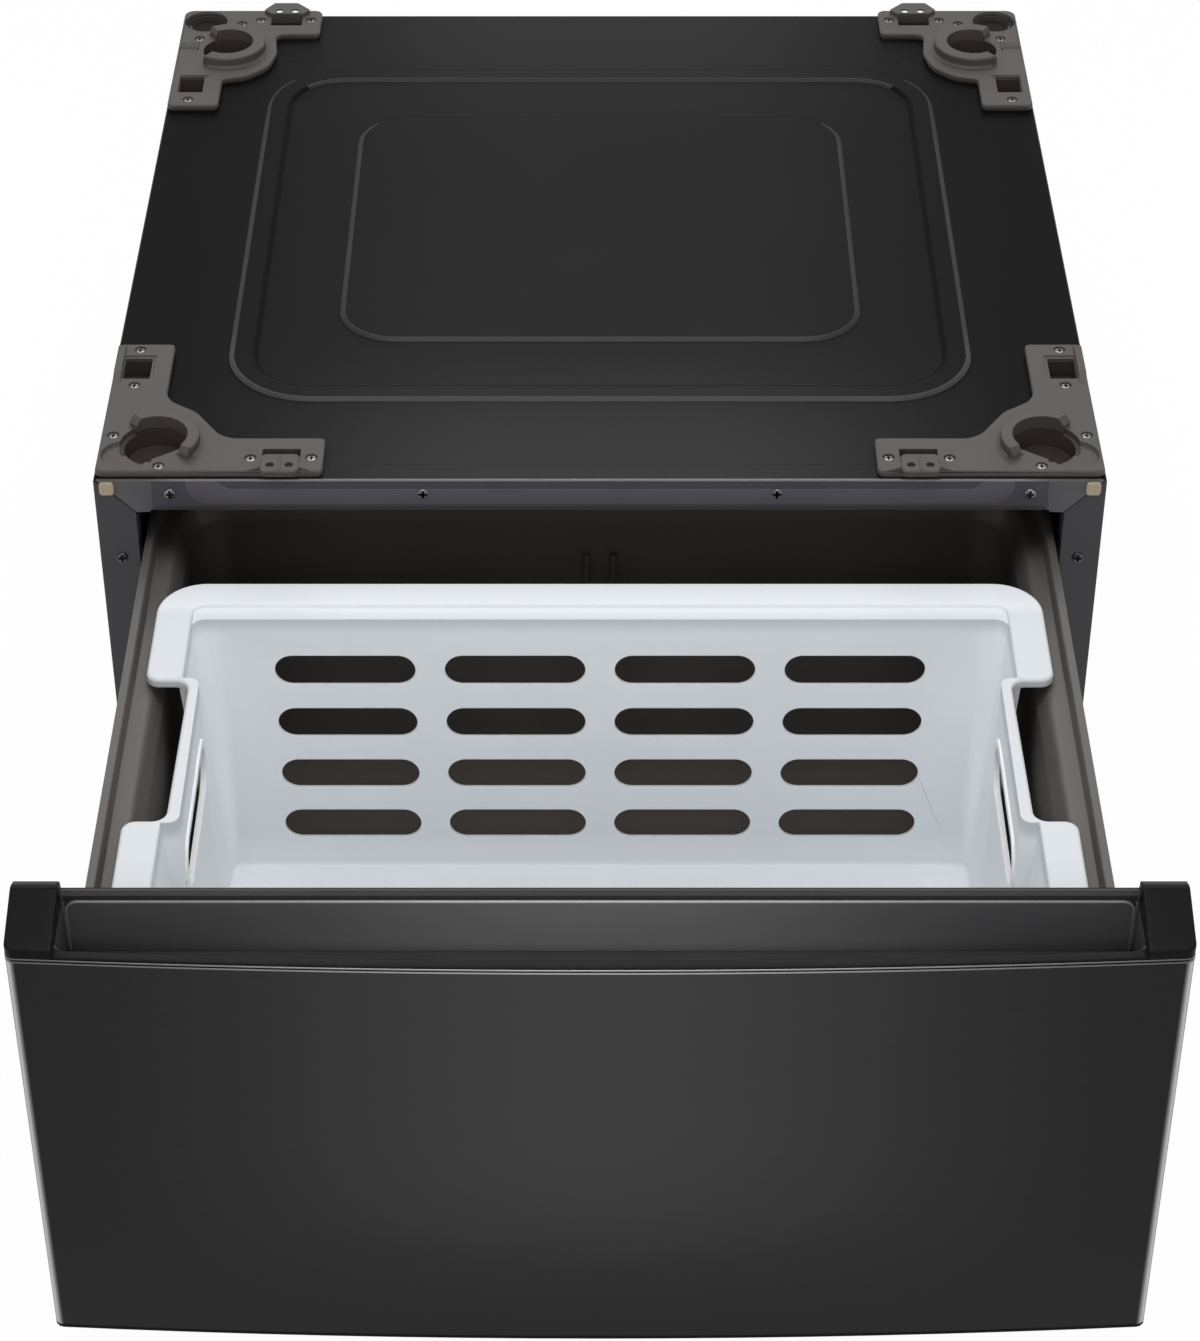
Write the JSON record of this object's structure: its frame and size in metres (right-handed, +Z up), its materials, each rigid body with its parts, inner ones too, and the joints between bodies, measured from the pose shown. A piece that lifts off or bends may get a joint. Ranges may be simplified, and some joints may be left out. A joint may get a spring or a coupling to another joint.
{
  "type": "washer pedestal drawer",
  "caption": "Laundry machine pedestal: a low steel cabinet with raised corner wells on top and a wide pull-out drawer that holds a lift-out slotted basket.",
  "frame": {"origin": "on the floor, below the middle of the part's bounding box with the drawer fully open", "axes": "+X to the right, +Y to the rear of the cabinet, +Z up; the drawer opens along -Y"},
  "size_m": [0.686, 1.1456, 0.352],
  "materials": {
    "black_sheet": "satin black powder coat",
    "frame_steel": "dark grey satin coat",
    "zinc_steel": "zinc plated",
    "bracket_plastic": "moulded, matte warm grey",
    "bumper_rubber": "matte beige",
    "cap_plastic": "moulded, satin black",
    "brushed_skin": "dark brushed steel, horizontal grain",
    "tub_plastic": "moulded, satin warm grey",
    "basket_plastic": "moulded, satin cool white",
    "foot_plastic": "moulded black"
  },
  "bodies": {
    "cabinet": {"left_side_panel": "black_sheet", "right_side_panel": "black_sheet", "top_panel": "black_sheet", "front_top_rail": "frame_steel", "rear_panel": "black_sheet", "base_rail_left": "frame_steel", "base_rail_right": "frame_steel", "base_rail_front": "frame_steel", "base_rail_rear": "frame_steel", "bumper_left": "bumper_rubber", "bumper_right": "bumper_rubber", "flange_screw_1": "zinc_steel", "flange_screw_2": "zinc_steel", "flange_screw_3": "zinc_steel", "flange_screw_4": "zinc_steel", "column_screw_left": "zinc_steel", "column_screw_right": "zinc_steel", "front_bracket_left": "bracket_plastic", "front_bracket_right": "bracket_plastic", "rear_bracket_left": "bracket_plastic", "rear_bracket_right": "bracket_plastic", "lock_nut_front_left": "zinc_steel", "lock_nut_front_right": "zinc_steel", "lock_nut_rear_left": "zinc_steel", "lock_nut_rear_right": "zinc_steel", "runner_support_left": "frame_steel", "runner_support_right": "frame_steel", "runner_outer_left": "zinc_steel", "runner_outer_right": "zinc_steel"},
    "drawer": {"drawer_tub": "tub_plastic", "front_skin": "brushed_skin", "front_top_cap": "cap_plastic", "handle_insert": "brushed_skin", "front_bottom_cap": "cap_plastic", "front_inner_plate": "frame_steel", "front_screw_1": "zinc_steel", "front_screw_2": "zinc_steel", "front_screw_3": "zinc_steel", "front_screw_4": "zinc_steel", "runner_inner_left": "zinc_steel", "runner_inner_right": "zinc_steel"},
    "runner_middle_left": {"runner_middle_left": "zinc_steel"},
    "runner_middle_right": {"runner_middle_right": "zinc_steel"},
    "basket": {"basket": "basket_plastic"},
    "foot_front_left": {"foot_stud_front_left": "zinc_steel", "foot_pad_front_left": "foot_plastic"},
    "foot_front_right": {"foot_stud_front_right": "zinc_steel", "foot_pad_front_right": "foot_plastic"},
    "foot_rear_left": {"foot_stud_rear_left": "zinc_steel", "foot_pad_rear_left": "foot_plastic"},
    "foot_rear_right": {"foot_stud_rear_right": "zinc_steel", "foot_pad_rear_right": "foot_plastic"}
  },
  "joints": [
    {"name": "drawer_slide", "type": "slide", "parent": "cabinet", "child": "drawer", "axis": [0, -1, 0], "range_m": [-0.4085, 0]},
    {"name": "runner_middle_left_slide", "type": "slide", "parent": "cabinet", "child": "runner_middle_left", "axis": [0, -1, 0], "range_m": [-0.20425, 0]},
    {"name": "runner_middle_right_slide", "type": "slide", "parent": "cabinet", "child": "runner_middle_right", "axis": [0, -1, 0], "range_m": [-0.20425, 0]},
    {"name": "basket_lift", "type": "slide", "parent": "drawer", "child": "basket", "axis": [0, 0, 1], "range_m": [0, 0.3]},
    {"name": "foot_front_left_screw", "type": "slide", "parent": "cabinet", "child": "foot_front_left", "axis": [0, 0, -1], "range_m": [0, 0.012]},
    {"name": "foot_front_right_screw", "type": "slide", "parent": "cabinet", "child": "foot_front_right", "axis": [0, 0, -1], "range_m": [0, 0.012]},
    {"name": "foot_rear_left_screw", "type": "slide", "parent": "cabinet", "child": "foot_rear_left", "axis": [0, 0, -1], "range_m": [0, 0.012]},
    {"name": "foot_rear_right_screw", "type": "slide", "parent": "cabinet", "child": "foot_rear_right", "axis": [0, 0, -1], "range_m": [0, 0.012]}
  ],
  "couplings": [
    {"joint": "runner_middle_left_slide", "follows": "drawer_slide", "ratio": 0.5},
    {"joint": "runner_middle_right_slide", "follows": "drawer_slide", "ratio": 0.5}
  ]
}
